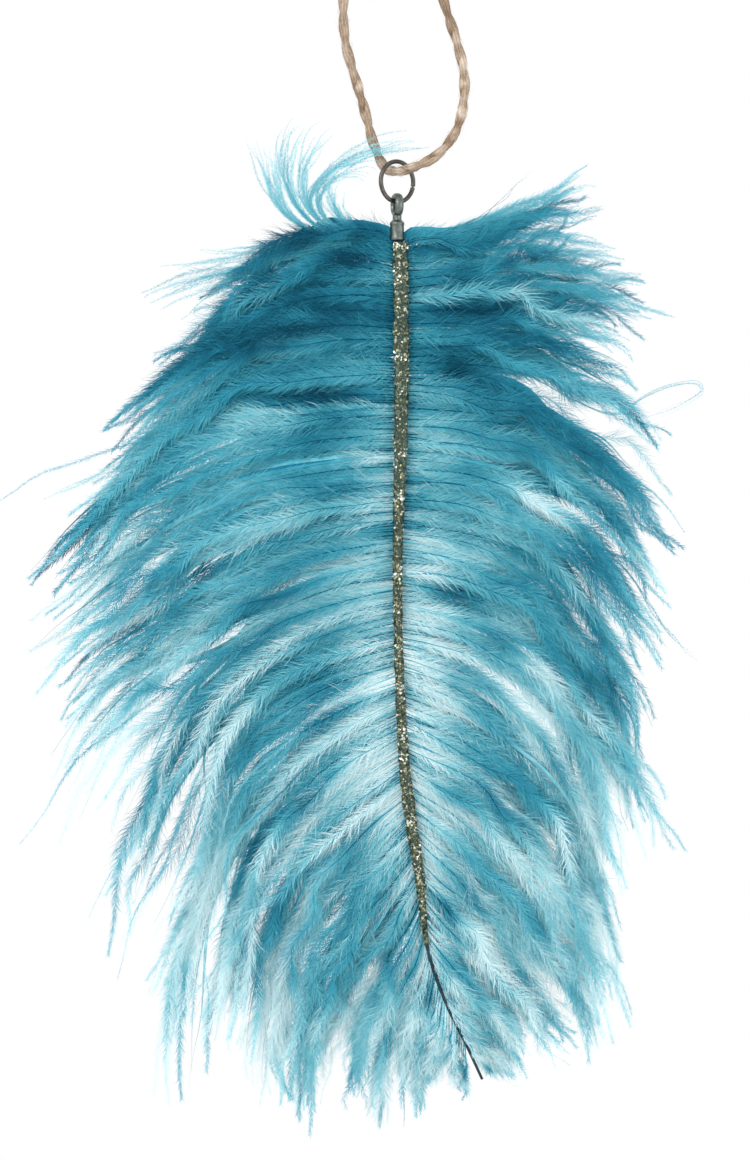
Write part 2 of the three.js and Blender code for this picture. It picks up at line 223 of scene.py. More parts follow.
# How barbs gather: bundles of barbs side by side, and locks that draw whole stretches together.
BUNDLE_BARBS = (1.8, 3.8)
BUNDLE_TONE = 0.07
BUNDLE_DEPTH = 0.9
BUNDLE_WAVE = 0.85
STREAK_DEPTH = 0.16
LOCK_ROWS = (0.22, 0.6)
LOCK_TONE = 0.06
LOCK_DEPTH = 1.8
LOCK_STRAY = (1.6, 4.0, 3.4)
LOCK_SPLAY = 2.2
LOCK_WAVE, LOCK_RIPPLE = 1.1, 0.7
STRAYING_SHARE = 0.18
STRAY_SHARE = 0.05
HAZE_SHARE = (0.18, 0.2)
HAZE_PALER = 0.2
BACK_SHARE = 0.16
BACK_SETBACK = 3.4
PULL = (0.5, 0.9)
LOOSE_PULL = 0.25
FRIZZ = 0.5
WAVES_ALONG = 9
FRIZZ_ALONG = 12

# Strips of matted down: how many to a lock at the plume's top, middle and foot, how much of it they
# follow, how far behind it they lie, their half width at top and foot, and their shade.
RIBBON_SETBACK = 0.6
RIBBONS = [
    {"count": (6, 3, 0), "reach": (0.5, 0.8), "behind": 2.0, "half_width": (2.2, 1.2), "tone": 0.04,
     "paler": 0.22},
    {"count": (8, 5, 1), "reach": (0.7, 1.0), "behind": 1.1, "half_width": (0.55, 0.45), "tone": -0.06,
     "paler": 0.0},
]


# ---- Small helpers ----
def spline(rows, at):
    """A smooth curve through rows, read at row numbers that needn't be whole."""
    rows = np.asarray(rows, float)
    at = np.atleast_1d(at)
    last = len(rows) - 1
    low = np.clip(np.floor(at).astype(int), 0, last - 1)
    f = (at - low)[:, None]
    a, b, c, d = (rows[np.clip(low + k, 0, last)] for k in (-1, 0, 1, 2))
    return 0.5 * (2 * b + (c - a) * f + (2 * a - 5 * b + 4 * c - d) * f**2 + (3 * b - 3 * c + d - a) * f**3)


def unit(v):
    return v / np.maximum(np.linalg.norm(v, axis=-1, keepdims=True), 1e-12)


def smoothstep(low, high, x):
    t = np.clip((x - low) / (high - low), 0, 1)
    return t * t * (3 - 2 * t)


def grid_faces(rows, columns, closed=True):
    """Triangles over rows of points, each row closed on itself unless told otherwise."""
    across = np.arange(columns if closed else columns - 1)
    i, k = np.meshgrid(np.arange(rows - 1) * columns, across, indexing="ij")
    a, b = i + k, i + (k + 1) % columns
    halves = np.stack([a, b, a + columns], -1), np.stack([b, b + columns, a + columns], -1)
    return np.concatenate(halves).reshape(-1, 3)


def end_fans(rows, sides):
    """Triangles that close both ends of a grid of points, its two end points coming just after it."""
    k = np.arange(sides)
    after = (k + 1) % sides
    base = (rows - 1) * sides
    end = np.full(sides, rows * sides)
    return np.concatenate([np.stack([after, k, end], 1), np.stack([base + k, base + after, end + 1], 1)])


def blades(root, middle, tip, half):
    """Thin five-point ribbons, one from each root through its middle to a sharp tip."""
    points = np.stack([root - half, root + half, middle + half * 0.8, middle - half * 0.8, tip], 1)
    faces = np.arange(len(root))[:, None, None] * 5 + np.array([(0, 1, 2), (0, 2, 3), (3, 2, 4)])
    return points.reshape(-1, 3), faces.reshape(-1, 3)


class Heap:
    """Points, faces and tones gathered up for one piece."""

    def __init__(self):
        self.points, self.faces, self.tones, self.count = [], [], [], 0

    def add(self, points, faces, tones):
        self.points.append(points)
        self.faces.append(np.asarray(faces) + self.count)
        self.tones.append(np.broadcast_to(tones, len(points)))
        self.count += len(points)

    def merge(self, other):
        self.add(np.concatenate(other.points), np.concatenate(other.faces), np.concatenate(other.tones))

    def piece(self, name, material, body, slot, smooth=True):
        """Everything gathered, as a mesh that rides on a body. Its tones feed the material's colour ramp."""
        points, faces = np.concatenate(self.points), np.concatenate(self.faces)
        mesh = bpy.data.meshes.new(name)
        mesh.vertices.add(len(points))
        mesh.vertices.foreach_set("co", (points * MM).ravel())
        mesh.loops.add(faces.size)
        mesh.loops.foreach_set("vertex_index", faces.ravel())
        mesh.polygons.add(len(faces))
        mesh.polygons.foreach_set("loop_start", np.arange(0, faces.size, faces.shape[1]))
        mesh.polygons.foreach_set("use_smooth", np.full(len(faces), smooth))
        mesh.materials.append(material)
        mesh.update(calc_edges=True)
        tones = mesh.attributes.new("tone", "FLOAT", "POINT")
        tones.data.foreach_set("value", np.concatenate(self.tones).astype(np.float32))
        piece = bpy.data.objects.new(name, mesh)
        bpy.context.scene.collection.objects.link(piece)
        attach(piece, body)
        return piece


# ---- Materials ----
def new_material(name, roughness=0.6, metallic=0.0, specular=0.3):
    material = bpy.data.materials.new(name)
    material.use_nodes = True
    shader = material.node_tree.nodes["Principled BSDF"]
    shader.inputs["Roughness"].default_value = roughness
    shader.inputs["Metallic"].default_value = metallic
    shader.inputs["Specular IOR Level"].default_value = specular
    return material, material.node_tree, shader


def add_node(tree, kind, **settings):
    """A node with its settings: a plain attribute, or a socket where the name is one."""
    node = tree.nodes.new(kind)
    for name, value in settings.items():
        socket = node.inputs.get(name.replace("_", " ").title())
        if socket is not None and not hasattr(node, name):
            socket.default_value = value
        else:
            setattr(node, name, value)
    return node


def ramp_node(tree, stops):
    node = tree.nodes.new("ShaderNodeValToRGB")
    elements = node.color_ramp.elements
    while len(elements) < len(stops):
        elements.new(0.5)
    for element, (place, colour) in zip(elements, stops):
        element.position = place
        element.color = (*colour, 1)
    return node


def toned(name, stops, scale, mottle, roughness, metallic=0.0, specular=0.3, bump=0.0, bump_scale=3000.0):
    """A material coloured by the piece's tones through a ramp and mottled by noise, with a fine bump."""
    material, tree, shader = new_material(name, roughness, metallic, specular)
    tone = add_node(tree, "ShaderNodeAttribute", attribute_name="tone")
    place = tree.nodes.new("ShaderNodeTexCoord")
    noise = add_node(tree, "ShaderNodeTexNoise", scale=scale, detail=3.0)
    spread = add_node(tree, "ShaderNodeMath", operation="MULTIPLY_ADD")
    spread.inputs[1].default_value = 2 * mottle
    spread.inputs[2].default_value = -mottle
    total = add_node(tree, "ShaderNodeMath", operation="ADD")
    ramp = ramp_node(tree, stops)
    tree.links.new(place.outputs["Object"], noise.inputs["Vector"])
    tree.links.new(noise.outputs["Fac"], spread.inputs[0])
    tree.links.new(tone.outputs["Fac"], total.inputs[0])
    tree.links.new(spread.outputs[0], total.inputs[1])
    tree.links.new(total.outputs[0], ramp.inputs["Fac"])
    tree.links.new(ramp.outputs["Color"], shader.inputs["Base Color"])
    if bump:
        grain = add_node(tree, "ShaderNodeTexNoise", scale=bump_scale, detail=4.0)
        relief = add_node(tree, "ShaderNodeBump", strength=bump, distance=0.0002)
        tree.links.new(place.outputs["Object"], grain.inputs["Vector"])
        tree.links.new(grain.outputs["Fac"], relief.inputs["Height"])
        tree.links.new(relief.outputs["Normal"], shader.inputs["Normal"])
    return material


def make_materials():
    return {
        "barbs": toned("dyed_barbs", [
            (0.0, (0.004, 0.052, 0.095)), (0.2, (0.011, 0.135, 0.217)), (0.4, (0.027, 0.262, 0.378)),
            (0.6, (0.078, 0.42, 0.53)), (0.78, (0.22, 0.595, 0.68)), (0.9, (0.43, 0.755, 0.81)),
            (1.0, (0.68, 0.87, 0.9)),
        ], scale=260, mottle=0.12, roughness=0.8, specular=0.03),
        "twine": toned("jute_twine", [
            (0.0, (0.1, 0.06, 0.036)), (0.4, (0.29, 0.205, 0.14)), (0.7, (0.48, 0.385, 0.3)),
            (1.0, (0.8, 0.7, 0.6)),
        ], scale=900, mottle=0.15, roughness=0.9, specular=0.1, bump=0.5, bump_scale=6000),
        "quill": toned("dyed_quill", [
            (0.0, (0.006, 0.014, 0.02)), (0.45, (0.012, 0.045, 0.065)), (0.75, (0.04, 0.085, 0.09)),
            (1.0, (0.18, 0.17, 0.12)),
        ], scale=700, mottle=0.18, roughness=0.5, specular=0.25, bump=0.4),
        # The ramp's top stop is near white for the painted glints on the flakes.
        "glitter": toned("glitter_flakes", [
            (0.0, (0.026, 0.048, 0.042)), (0.3, (0.085, 0.118, 0.086)), (0.55, (0.265, 0.25, 0.125)),
            (0.78, (0.52, 0.53, 0.37)), (1.0, (1.0, 0.985, 0.9)),
        ], scale=1500, mottle=0.08, roughness=0.3, metallic=0.8, specular=0.5),
        "metal": toned("gunmetal", [
            (0.0, (0.04, 0.038, 0.034)), (0.5, (0.1, 0.095, 0.087)), (1.0, (0.28, 0.27, 0.25)),
        ], scale=1200, mottle=0.25, roughness=0.32, metallic=1.0, specular=0.5, bump=0.25, bump_scale=4000),
        "cap": toned("tarnished_cap", [
            (0.0, (0.045, 0.055, 0.05)), (0.5, (0.15, 0.175, 0.16)), (1.0, (0.42, 0.44, 0.41)),
        ], scale=1200, mottle=0.25, roughness=0.34, metallic=1.0, specular=0.5, bump=0.3, bump_scale=4000),
        "glue": toned("clear_glue", [
            (0.0, (0.42, 0.38, 0.28)), (1.0, (0.76, 0.72, 0.6)),
        ], scale=900, mottle=0.3, roughness=0.35, bump=0.3),
    }


# ---- Camera, light and floor ----
def make_stage():
    scene = bpy.context.scene
    camera = bpy.data.objects.new("camera", bpy.data.cameras.new("camera"))
    camera.data.lens = LENS
    camera.data.sensor_width = SENSOR
    camera.location = (VIEW_CENTRE[0] * MM, -VIEW_HEIGHT * MM * LENS / SENSOR, VIEW_CENTRE[1] * MM)
    camera.rotation_euler = (math.pi / 2, 0, 0)
    scene.collection.objects.link(camera)
    scene.camera = camera

    world = bpy.data.worlds.new("studio")
    world.use_nodes = True
    world.node_tree.nodes["Background"].inputs["Color"].default_value = (1, 1, 1, 1)
    world.node_tree.nodes["Background"].inputs["Strength"].default_value = 1.0
    scene.world = world
    scene.view_settings.view_transform = "Standard"

    mesh = bpy.data.meshes.new("floor")
    around = [2 * math.pi * i / 96 for i in range(96)]
    mesh.from_pydata([(0.5 * math.cos(a), 0.5 * math.sin(a), -0.42) for a in around], [], [range(96)])
    floor = bpy.data.objects.new("floor", mesh)
    material, _, shader = new_material("pale_floor", 0.7)
    shader.inputs["Base Color"].default_value = (0.82, 0.82, 0.82, 1)
    floor.data.materials.append(material)
    scene.collection.objects.link(floor)

    lights = [("key", (-0.55, -0.8, 0.35), 0.6, 5), ("fill", (0.7, -0.6, -0.1), 0.6, 2)]
    for name, place, size, watts in lights:
        lamp = bpy.data.objects.new(name, bpy.data.lights.new(name, "AREA"))
        lamp.data.size = size
        lamp.data.energy = watts
        lamp.location = place
        aim = Vector((0, 0, -0.17)) - Vector(place)
        lamp.rotation_euler = aim.to_track_quat("-Z", "Y").to_euler()
        scene.collection.objects.link(lamp)


# ---- Tubes and twine ----
def frames(path):
    """Along a path: its direction and two directions across it that don't spin."""
    tangent = unit(np.gradient(path, axis=0))
    up = np.empty_like(path)
    helper = np.array([0.0, 1.0, 0.0])
    if abs(tangent[0] @ helper) > 0.9:
        helper = np.array([1.0, 0.0, 0.0])
    up[0] = unit(helper - tangent[0] * (tangent[0] @ helper))
    for i in range(1, len(path)):
        carried = up[i - 1] - tangent[i] * (tangent[i] @ up[i - 1])
        up[i] = unit(carried)
    return tangent, up, np.cross(tangent, up)


def tube(path, radius, sides, ridge=None):
    """A closed tube along path. ridge(turn, step) scales the radius around and along it."""
    tangent, up, across = frames(path)
    radius = np.broadcast_to(radius, len(path))
    turn = np.arange(sides) * 2 * np.pi / sides
    swell = np.ones((len(path), sides))
    if ridge is not None:
        swell = ridge(turn[None], np.arange(len(path))[:, None])
    ring = up[:, None] * np.cos(turn)[None, :, None] + across[:, None] * np.sin(turn)[None, :, None]
    points = (path[:, None] + ring * (radius[:, None] * swell)[..., None]).reshape(-1, 3)
    i, k = np.meshgrid(np.arange(len(path) - 1) * sides, np.arange(sides), indexing="ij")
    a, b = i + k, i + (k + 1) % sides
    quads = np.stack([a, b, b + sides, a + sides], -1).reshape(-1, 4)
    bulge = 0.3
    ends = np.array([path[0] - tangent[0] * radius[0] * bulge, path[-1] + tangent[-1] * radius[-1] * bulge])
    faces = np.concatenate([quads[:, [0, 1, 2]], quads[:, [0, 2, 3]], end_fans(len(path), sides)])
    return np.concatenate([points, ends]), faces


def smooth_path(points, gap):
    """A path every gap along the curve through points."""
    points = np.asarray(points, float)
    fine = spline(points, np.linspace(0, len(points) - 1, 40 * len(points)))
    run = np.concatenate([[0], np.cumsum(np.linalg.norm(np.diff(fine, axis=0), axis=1))])
    at = np.linspace(0, run[-1], max(int(run[-1] / gap), 4) + 1)
    return np.stack([np.interp(at, run, fine[:, k]) for k in range(3)], 1)


PLY_SIDES = 22
PLY_PITCH = 13
PLY_ARM = 0.145
PLY_RADIUS = 0.3
FIBRES_PER_MM = 11
FIBRE_HALF_WIDTH = 0.03
FRAY_FIBRES = 60
ROUTE_STEP = 0.3


def two_ply(rng, path, diameter):
    """Two hairy strands twisted round each other along path, with loose fibres standing off them."""
    heap = Heap()
    tangent, up, across = frames(path)
    step = np.linalg.norm(path[1] - path[0])
    lumps = smooth_noise(rng, len(path), 2.5 / step)
    for ply in (0, 1):
        turn = 2 * np.pi * np.arange(len(path)) * step / PLY_PITCH + ply * np.pi
        own = smooth_noise(rng, len(path), 1.6 / step)
        arm = diameter * PLY_ARM * (1 + 0.12 * lumps)
        centre = path + arm[:, None] * (np.cos(turn)[:, None] * up + np.sin(turn)[:, None] * across)
        radius = diameter * PLY_RADIUS * (1 + 0.09 * own)

        def ridge(around, along):
            yarn = np.sin(7 * around + 1.3 * along * step) + 0.6 * np.sin(11 * around + 1.9 * along * step)
            return 1 + 0.05 * yarn

        points, faces = tube(centre, radius, PLY_SIDES, ridge)
        shade = np.repeat(0.5 + 0.2 * own - 0.1 * lumps, PLY_SIDES)
        around = np.tile(np.arange(PLY_SIDES) * 2 * np.pi / PLY_SIDES, len(path))
        along = np.repeat(np.arange(len(path)), PLY_SIDES)
        # The tone follows the yarn ridge: painted shade in its grooves and painted light on its crests, with
        # random flecks on top.
        streak = 0.12 * np.sin(7 * around + 1.3 * along * step) + rng.normal(0, 0.05, len(along))
        heap.add(points, faces, np.concatenate([shade + streak, [0.5, 0.5]]))
    count = int(len(path) * step * FIBRES_PER_MM)
    place = rng.integers(2, len(path) - 2, count)
    angle = rng.uniform(0, 2 * np.pi, count)
    out = np.cos(angle)[:, None] * up[place] + np.sin(angle)[:, None] * across[place]
    sweep = tangent[place] * rng.choice([-1, 1], count)[:, None]
    curl = unit(np.cross(out, tangent[place])) * rng.normal(0, 0.5, count)[:, None]
    long = rng.gamma(2.0, 0.6, count).clip(0.3, 3.2)[:, None]
    lift = rng.uniform(0.05, 0.5, count)[:, None]
    root = path[place] + out * diameter * 0.44
    middle = root + unit(sweep + out * lift + curl * 0.4) * long * 0.5
    tip = middle + unit(sweep + out * lift * 0.6 + curl) * long * 0.5
    half = unit(np.cross(sweep, out)) * FIBRE_HALF_WIDTH
    points, faces = blades(root, middle, tip, half)
    heap.add(points, faces, np.repeat(rng.normal(0.7, 0.14, count), 5))
    return heap


def smooth_noise(rng, count, spacing):
    """Smooth random numbers from about -1 to 1, changing every spacing steps."""
    knots = rng.normal(0, 0.6, int(count / spacing) + 4).clip(-1.3, 1.3)[:, None]
    return spline(knots, np.arange(count) / spacing)[:, 0]


def twine_loop(material, knot):
    route = smooth_path(CORD_ROUTE, ROUTE_STEP)
    heap = two_ply(np.random.default_rng(3), route, CORD_DIAMETER)
    piece = heap.piece("twine_loop", material, "hanger", "twine")
    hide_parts("hanging_cord")


def twine_knot(material):
    """An overhand knot: a trefoil winding, with two frayed tails standing out of it."""
    turn = np.linspace(0.35, 2 * np.pi + 0.35, 120)
    wind = np.stack([
        (np.sin(turn) + 2 * np.sin(2 * turn)) / 3 * (KNOT_HALF[0] - 0.9),
        -np.sin(3 * turn) * (KNOT_HALF[1] - 1.5),
        KNOT_HEIGHT + (np.cos(turn) - 2 * np.cos(2 * turn)) / 3 * (KNOT_HALF[2] - 0.7),
    ], 1)
    rng = np.random.default_rng(5)
    heap = two_ply(rng, wind, TAIL_DIAMETER)
    for route in TAIL_ROUTES:
        path = smooth_path(route, ROUTE_STEP)
        heap.merge(two_ply(rng, path, TAIL_DIAMETER))
        heap.merge(frayed_end(rng, path))
    piece = heap.piece("twine_knot", material, "hanger", "twine")
    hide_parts("cord_knot")
    return piece


def frayed_end(rng, path):
    """The loose fibres past a cut end."""
    heap = Heap()
    ahead = unit(path[-1] - path[-4])
    side_ways, up = np.cross(ahead, (0, 1, 0)), np.array([0, 1, 0])
    for _ in range(FRAY_FIBRES):
        spot = rng.normal(0, TAIL_DIAMETER / 5, 2)
        start = path[-1] - ahead * 0.8 + side_ways * spot[0] + up * spot[1]
        lean = side_ways * spot[0] * 0.5 + up * spot[1] * 0.5
        t = np.linspace(0, 1, 6)[:, None]
        line = start + (ahead * t + lean * t**2) * rng.uniform(1.0, 2.2)
        points, faces = ramus(line, 0.06 * (1.1 - t[:, 0]))
        heap.add(points, faces, rng.normal(0.7, 0.15))
    return heap


# ---- The jump ring and the end cap ----
def turned(points, degrees):
    """Points turned about Z."""
    angle = math.radians(degrees)
    x, y, z = points.T
    return np.stack([
        x * math.cos(angle) - y * math.sin(angle), x * math.sin(angle) + y * math.cos(angle), z,
    ], 1)


def jump_ring(material):
    """A round wire bent into a ring, its two cut ends nearly meeting."""
    radius = (RING_OUTER - RING_WIRE) / 2
    half_split = RING_SPLIT / 2 / radius
    turn = np.linspace(half_split, 2 * np.pi - half_split, 160) + math.radians(RING_SPLIT_AT)
    path = turned(np.stack([radius * np.cos(turn), np.zeros(160), radius * np.sin(turn)], 1), RING_TURN)
    path[:, 2] += RING_HEIGHT
    heap = Heap()
    heap.add(*tube(path, RING_WIRE / 2, 24), 0.5)
    piece = heap.piece("split_ring", material, "ring", "metal")
    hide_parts("jump_ring")


def lathe(profile, sides):
    """A closed solid of revolution about Z from (radius, height) pairs that start and end on the axis."""
    profile = np.asarray(profile, float)
    turn = np.arange(sides) * 2 * np.pi / sides
    ring = profile[1:-1, None]
    points = np.stack([
        ring[..., 0] * np.cos(turn), ring[..., 0] * np.sin(turn), np.repeat(ring[..., 1], sides, 1),
    ], -1).reshape(-1, 3)
    ends = np.array([(0, 0, profile[0, 1]), (0, 0, profile[-1, 1])])
    rings = len(profile) - 2
    faces = np.concatenate([grid_faces(rings, sides), end_fans(rings, sides)])[:, ::-1]
    return np.concatenate([points, ends]), faces


def rounded(profile, step=0.12):
    """A profile with its corners softened, drawn with points no more than step apart."""
    profile = np.asarray(profile, float)
    fine = [profile[0]]
    for a, b in zip(profile[:-1], profile[1:]):
        count = max(int(np.linalg.norm(b - a) / step), 1)
        fine += [a + (b - a) * (i + 1) / count for i in range(count)]
    fine = np.array(fine)
    for _ in range(2):
        fine[1:-1] = (fine[:-2] + 2 * fine[1:-1] + fine[2:]) / 4
    return fine


def end_cap(material):
    """The crimped cap: an eye on a short neck over a barrel with two beads and a pinch front and back."""
    wire = RING_HEIGHT - (RING_OUTER - RING_WIRE) / 2
    r = BARREL_RADIUS
    eye_height = wire - (EYE_RADIUS - EYE_BAR / 2 - RING_WIRE / 2 - EYE_PLAY)
    neck_top = eye_height - EYE_RADIUS
    bore_top = BARREL_MOUTH + BORE_DEPTH
    bead = 0.1
    profile = [
        (0, neck_top + 0.2), (NECK_RADIUS, neck_top + 0.1), (NECK_RADIUS, BARREL_TOP + 0.1),
        (r - 0.5, BARREL_TOP), (r, BARREL_TOP - 0.5), (r, BARREL_TOP - 0.9),
        (r - bead, BARREL_TOP - 1.1), (r - bead, BARREL_MOUTH + 1.0),
        (r, BARREL_MOUTH + 0.8), (r, BARREL_MOUTH + 0.15), (r - 0.15, BARREL_MOUTH),
        (BORE_RADIUS, BARREL_MOUTH), (BORE_RADIUS, bore_top), (0, bore_top),
    ]
    heap = Heap()
    points, faces = lathe(rounded(profile), 56)
    x, y, z = points.T
    pinch = 0.22 * np.exp(-((z - (BARREL_TOP + BARREL_MOUTH) / 2) / 0.7) ** 2 - (x / 0.75) ** 2)
    outside = np.hypot(x, y) > BORE_RADIUS + 0.02
    points[:, 1] -= np.sign(y) * pinch * outside
    heap.add(turned(points, CAP_TURN), faces, 0.45)
    turn = np.linspace(0, 2 * np.pi, 73)
    eye = np.stack([np.zeros(73), EYE_RADIUS * np.cos(turn), eye_height + EYE_RADIUS * np.sin(turn)], 1)
    points, faces = tube(eye, EYE_BAR / 2, 20)
    points[:, 0] *= EYE_SPAN / EYE_BAR
    heap.add(turned(points, CAP_TURN), faces, 0.5)
    piece = heap.piece("crimp_cap", material, "feather", "metal")
    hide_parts("end_cap")


# ---- The shaft and its glitter ----
def shaft_radius(share):
    return QUILL_RADIUS + (SHAFT_TIP_RADIUS - QUILL_RADIUS) * share


def quill(material):
    """The dyed shaft, round in front and grooved behind, thinning to a hair at the feather's point."""
    quill_top = BARREL_MOUTH + BORE_DEPTH - PLUG_HEIGHT - 0.2
    below = shaft_at(np.linspace(0, LAST_ROW, 4 * LAST_ROW + 1))
    route = [(0, 0, quill_top), (0.1, 0, BARREL_MOUTH + 1), *below, (SHAFT_TIP[0], 0, SHAFT_TIP[1])]
    path = smooth_path(route, 0.5)
    share = np.linspace(0, 1, len(path))
    rng = np.random.default_rng(8)
    knobs = smooth_noise(rng, len(path), 3)

    def ridge(around, along):
        groove = 0.16 * np.exp(-((np.cos(around) - 1) / 0.12) ** 2)
        return 1 - groove + 0.03 * knobs[along] * np.sin(2 * around)

    points, faces = tube(path, shaft_radius(share), 24, ridge)
    shade = np.repeat(0.35 + 0.12 * knobs - 0.15 * smoothstep(0.8, 1, share), 24)
    heap = Heap()
    heap.add(points, faces, np.concatenate([shade, [0.3, 0.1]]))
    piece = heap.piece("rachis", material, "feather", "quill")
    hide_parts("quill_shaft")


COAT_HALF_WIDTHS = [1.5, 1.6, 1.5, 1.35, 1.1, 0.95, 1.0, 1.15, 1.25, 1.05, 0.45]
COAT_LAST_ROW = 10
FLAKES = 4200
FLAKE_RADIUS = (0.13, 0.34)
# Heights where flakes are brightened towards white: painted glints.
PAINTED_GLINT_HEIGHTS = (-79.3, -86.6, -103.8, -125.4, -135.2, -151.8, -176.9, -188.5, -206.5)


def glitter_strip(material):
    """A strip of glue over the front of the shaft, packed with six-sided flakes of gold glitter."""
    rng = np.random.default_rng(9)
    rows = np.linspace(0.0, COAT_LAST_ROW, 330)
    centre = shaft_at(rows)
    share = np.clip((VANE_ROWS[0][0][1] - centre[:, 2]) / (VANE_ROWS[0][0][1] - SHAFT_TIP[1]), 0, 1)
    half_width = spline(np.array(COAT_HALF_WIDTHS)[:, None], rows)[:, 0]
    half_width = half_width * (1 + 0.10 * smooth_noise(rng, len(rows), 4))
    front = COAT_THICKNESS + GAP
    fullness = np.sin(np.pi * np.clip(rows / COAT_LAST_ROW, 0.02, 0.9)) ** 0.3
    half_depth = (front + 0.5) / 2 * (0.55 + 0.45 * fullness)
    centre[:, 0] += COAT_ASIDE * (1 - share)
    centre[:, 1] -= shaft_radius(share) - 0.2 + half_depth
    sides = 20
    turn = np.arange(sides) * 2 * np.pi / sides
    lumps = 1 + 0.07 * rng.normal(0, 1, (len(rows), sides)).clip(-1.5, 1.5)
    ring = np.stack([
        half_width[:, None] * np.cos(turn) * lumps, -half_depth[:, None] * np.sin(turn) * lumps,
        np.zeros((len(rows), sides)),
    ], -1)
    points = (centre[:, None] + ring).reshape(-1, 3)
    faces = np.concatenate([grid_faces(len(rows), sides), end_fans(len(rows), sides)])
    heap = Heap()
    heap.add(np.concatenate([points, centre[[0, -1]]]), faces, 0.12)

    at = rng.integers(0, len(rows) - 1, FLAKES)
    angle = rng.uniform(-0.15, np.pi + 0.15, FLAKES)
    spot = centre[at] + np.stack([
        half_width[at] * np.cos(angle), -half_depth[at] * np.sin(angle), rng.uniform(-0.3, 0.3, FLAKES),
    ], 1) * 1.02
    facing = np.stack([np.cos(angle) / half_width[at], -np.sin(angle) / half_depth[at], np.zeros(FLAKES)], 1)
    facing = unit(unit(facing) + rng.normal(0, 0.33, (FLAKES, 3)))
    first = unit(np.cross(facing, rng.normal(0, 1, (FLAKES, 3))))
    second = np.cross(facing, first)
    radius = rng.uniform(*FLAKE_RADIUS, FLAKES)[:, None, None]
    corner = np.arange(6) * np.pi / 3
    hexagon = first[:, None] * np.cos(corner)[None, :, None] + second[:, None] * np.sin(corner)[None, :, None]
    points = (spot[:, None] + hexagon * radius).reshape(-1, 3)
    fan = np.array([(0, 1, 2), (0, 2, 3), (0, 3, 4), (0, 4, 5)])
    faces = (np.arange(FLAKES)[:, None, None] * 6 + fan).reshape(-1, 3)
    third = (angle / np.pi * 2.99).astype(int) % 3
    # Flake tones run from dark olive to bright gold: partly the flakes' own colours, partly painted
    # reflection for which flakes catch the light.
    clumps = spline(rng.normal(0, 0.17, (len(rows), 3)), at)[np.arange(FLAKES), third]
    tone = rng.beta(1.4, 1.9, FLAKES) * 0.95 + clumps
    # Painted glints: flakes near these heights are brightened towards white.
    for height in PAINTED_GLINT_HEIGHTS:
        tone += 0.8 * np.exp(-((spot[:, 2] - height) / 0.7) ** 2) * rng.uniform(0.3, 1.0, FLAKES)
    heap.add(points, faces, np.repeat(tone.clip(0, 1), 6))
    piece = heap.piece("glitter_strip", material, "feather", "glitter", smooth=False)
    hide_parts("glitter_coat")


# ---- The plume ----
def shaft_at(rows):
    """The shaft's centre at these rows."""
    xz = spline([r[0] for r in VANE_ROWS], rows)
    top = VANE_ROWS[0][0][1]
    share = np.clip((top - xz[:, 1]) / (top - SHAFT_TIP[1]), 0, 1)
    return np.stack([xz[:, 0], -SHAFT_BOW * np.sin(np.pi * share), xz[:, 1]], 1)


def heading(side, degrees):
    angle = np.radians(degrees)
    return np.stack([SIDES[side] * np.cos(angle), np.zeros_like(angle), -np.sin(angle)], -1)


def barb_cages(side, rows):
    """The four control points of the barb that leaves the shaft at each row, as (count, 4, 3)."""
    column = 1 if side == "left" else 2
    root = shaft_at(rows)
    end = spline([r[column] for r in VANE_ROWS], rows)
    tip = np.stack([end[:, 0], root[:, 1], end[:, 1]], 1)
    reach = np.linalg.norm(tip - root, axis=1, keepdims=True)
    first = root + heading(side, end[:, 2]) * reach * HANDLE_LEAVE
    second = tip - heading(side, end[:, 3]) * reach * HANDLE_ARRIVE
    return np.stack([root, first, second, tip], 1)


def barb_size(cage):
    """How far a barb reaches, as a share of a full-length one."""
    return np.linalg.norm(cage[3] - cage[0]) / FULL_REACH


def bezier(cage, along):
    """A barb's curve. Towards its tip it lies further and further behind the shaft."""
    t = along[:, None]
    a, b, c, d = cage
    path = a * (1 - t) ** 3 + 3 * b * t * (1 - t) ** 2 + 3 * c * t * t * (1 - t) + d * t**3
    path[:, 1] += TIP_SETBACK * along**2
    return path


def ramus(path, radius):
    """A barb's stem: a three-sided tube that tapers to nothing."""
    tangent = unit(np.gradient(path, axis=0))
    across = unit(np.cross(tangent, (0, 1, 0)))
    up = np.cross(across, tangent)
    turns = np.radians([90, 210, 330])
    ring = across[:, None] * np.cos(turns)[None, :, None] + up[:, None] * np.sin(turns)[None, :, None]
    points = path[:, None] + radius[:, None, None] * ring
    return points.reshape(-1, 3), grid_faces(len(path), 3)


